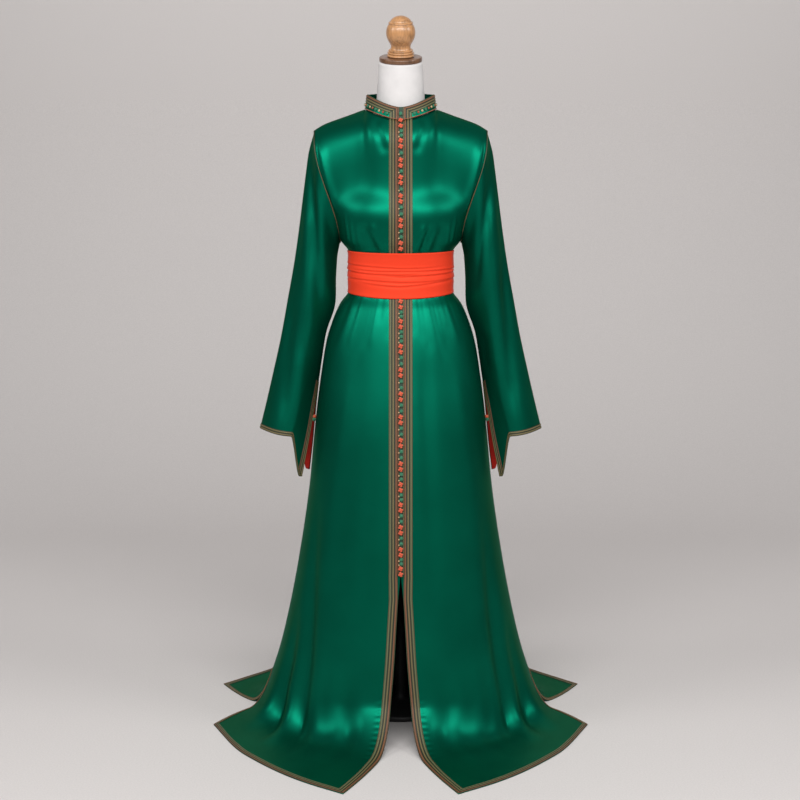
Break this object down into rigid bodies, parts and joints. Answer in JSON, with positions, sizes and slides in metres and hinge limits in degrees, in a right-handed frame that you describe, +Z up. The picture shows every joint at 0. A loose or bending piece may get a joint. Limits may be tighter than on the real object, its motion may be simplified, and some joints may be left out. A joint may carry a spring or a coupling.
{
  "type": "moroccan kaftan on dress form",
  "caption": "Emerald satin Moroccan kaftan with braid trim, knotted buttons, wide slit sleeves, trailing hem and coral cummerbund belt, on a limbless dress form.",
  "frame": {"origin": "on the floor at the middle of the footprint, which is on the axis of the form's pole", "axes": "+X to the viewer's right, -Y out of the front, +Z up along the pole"},
  "size_m": [0.9038, 1.146, 1.6554],
  "materials": {
    "green_satin": "satin",
    "gold_braid": "woven",
    "rust_piping": "cord",
    "red_lining": "satin",
    "coral_belt": "satin",
    "coral_silk": "knotted cord",
    "green_cord": "knotted cord",
    "form_cloth": "plain weave",
    "dark_wood": "varnished",
    "light_wood": "varnished",
    "black_paint": "matt"
  },
  "bodies": {
    "root": {"armhole_piping_left": "rust_piping", "armhole_piping_right": "rust_piping", "back": "green_satin", "belt": "coral_belt", "button_01": "coral_silk", "button_02": "coral_silk", "button_03": "coral_silk", "button_04": "coral_silk", "button_05": "coral_silk", "button_06": "coral_silk", "button_07": "coral_silk", "button_08": "coral_silk", "button_09": "coral_silk", "button_10": "coral_silk", "button_11": "coral_silk", "button_12": "coral_silk", "button_13": "coral_silk", "button_14": "coral_silk", "button_15": "coral_silk", "button_16": "coral_silk", "button_17": "coral_silk", "button_18": "coral_silk", "button_19": "coral_silk", "button_20": "coral_silk", "collar": "green_satin", "collar_braid": "gold_braid", "finial": "light_wood", "form_body": "form_cloth", "front_left": "green_satin", "front_right": "green_satin", "hem_braid_back": "gold_braid", "hem_braid_left": "gold_braid", "hem_braid_right": "gold_braid", "loop_tape_lower": "green_cord", "loop_tape_upper": "green_cord", "neck_disc": "dark_wood", "placket_braid_left": "gold_braid", "placket_braid_right": "gold_braid", "sleeve_braid_left": "gold_braid", "sleeve_braid_right": "gold_braid", "sleeve_facing_left": "red_lining", "sleeve_facing_right": "red_lining", "sleeve_left": "green_satin", "sleeve_right": "green_satin", "stand": "black_paint"}
  },
  "joints": []
}
